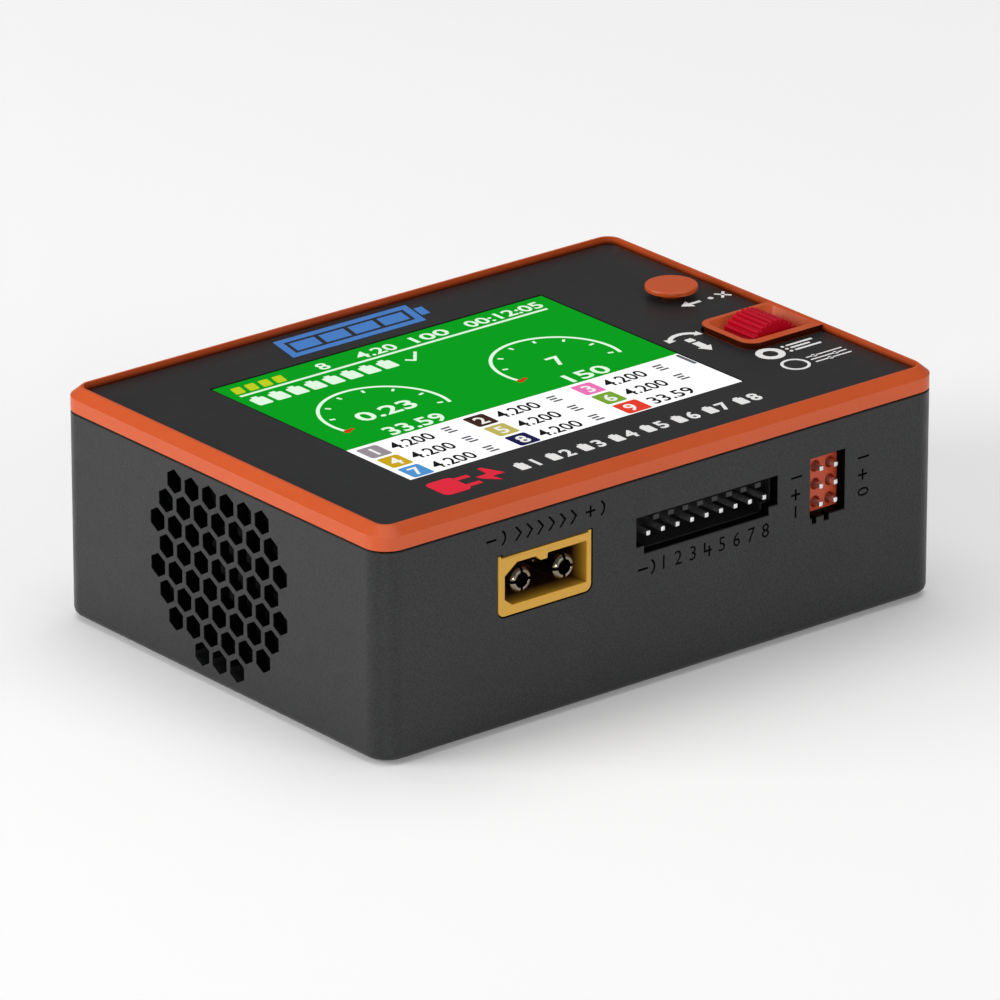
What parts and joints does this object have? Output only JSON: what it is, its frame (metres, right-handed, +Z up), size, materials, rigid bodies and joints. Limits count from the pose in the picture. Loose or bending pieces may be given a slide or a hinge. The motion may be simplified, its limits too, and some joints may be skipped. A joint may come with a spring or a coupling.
{
  "type": "balance battery charger",
  "caption": "Desktop balance battery charger with a colour screen, press-and-turn scroll wheel, exit button, honeycomb fan grille and front battery sockets.",
  "frame": {"origin": "centre of the footprint, on the surface that the rubber feet stand on", "axes": "+X to the right along the front, +Y to the back, +Z up"},
  "size_m": [0.0952, 0.0684, 0.0339],
  "materials": {
    "case_plastic": "fine matte grain",
    "bezel_plastic": "satin",
    "panel_plastic": "matte printed sheet",
    "screen_glass": "clear",
    "screen_metal": "satin",
    "ribbon_film": "gloss",
    "connector_black": "satin",
    "connector_yellow": "satin",
    "connector_orange": "satin",
    "contact_gold": "plated",
    "contact_tin": "bright plated",
    "board_laminate": "solder mask",
    "heat_sink_metal": "extruded",
    "ferrite": "sintered",
    "capacitor_can": "drawn can",
    "switch_white": "satin",
    "wheel_plastic": "satin",
    "fan_plastic": "satin",
    "lead_rubber": "smooth",
    "screw_steel": "black zinc",
    "foot_rubber": "matte",
    "print_ink": "screen print",
    "screen_image": "lit picture"
  },
  "bodies": {
    "case": {"bottom_case": "case_plastic", "top_bezel": "bezel_plastic", "top_panel": "panel_plastic", "screen_lens": "screen_glass", "lcd_module": "screen_metal", "screen_ribbon": "ribbon_film", "main_board": "board_laminate", "control_board": "board_laminate", "board_link": "connector_black", "heat_sink": "heat_sink_metal", "inductor": "ferrite", "capacitor": "capacitor_can", "controller_chip": "connector_black", "buzzer": "connector_black", "output_housing": "connector_yellow", "output_pin_left": "contact_gold", "output_pin_right": "contact_gold", "input_housing": "connector_yellow", "input_pin_left": "contact_gold", "input_pin_right": "contact_gold", "balance_housing": "connector_black", "signal_block": "connector_orange", "usb_shell": "contact_tin", "usb_tongue": "connector_black", "exit_switch": "connector_black", "encoder_base": "screen_metal", "wheel_switch": "connector_black", "fan_frame": "fan_plastic", "fan_lead": "lead_rubber", "fan_socket": "switch_white", "balance_pin_1": "contact_tin", "balance_pin_2": "contact_tin", "balance_pin_3": "contact_tin", "balance_pin_4": "contact_tin", "balance_pin_5": "contact_tin", "balance_pin_6": "contact_tin", "balance_pin_7": "contact_tin", "balance_pin_8": "contact_tin", "balance_pin_9": "contact_tin", "signal_pin_left_1": "contact_tin", "signal_pin_left_2": "contact_tin", "signal_pin_left_3": "contact_tin", "signal_pin_right_1": "contact_tin", "signal_pin_right_2": "contact_tin", "signal_pin_right_3": "contact_tin", "case_screw_front_left": "screw_steel", "case_screw_front_right": "screw_steel", "case_screw_back_left": "screw_steel", "case_screw_back_right": "screw_steel", "foot_front_left": "foot_rubber", "foot_front_right": "foot_rubber", "foot_back_left": "foot_rubber", "foot_back_right": "foot_rubber"},
    "exit_button": {"exit_button": "bezel_plastic", "exit_switch_plunger": "switch_white"},
    "wheel_carrier": {"wheel_carrier": "connector_black"},
    "scroll_wheel": {"scroll_wheel": "wheel_plastic", "wheel_axle": "contact_tin"},
    "fan_impeller": {"fan_impeller": "fan_plastic", "fan_shaft": "contact_tin"}
  },
  "joints": [
    {"name": "exit_button_press", "type": "slide", "parent": "case", "child": "exit_button", "axis": [0, 0, -1], "range_m": [0, 0.0006], "stiffness_N_per_m": 2000},
    {"name": "wheel_press", "type": "slide", "parent": "case", "child": "wheel_carrier", "axis": [0, 0, -1], "range_m": [0, 0.0005], "stiffness_N_per_m": 3000},
    {"name": "wheel_spin", "type": "hinge", "parent": "wheel_carrier", "child": "scroll_wheel", "pos_m": [0.03975, -0.00645, 0.02905], "axis": [0, 1, 0], "continuous": true},
    {"name": "fan_spin", "type": "hinge", "parent": "case", "child": "fan_impeller", "pos_m": [-0.04185, 0, 0.01696], "axis": [1, 0, 0], "continuous": true}
  ]
}
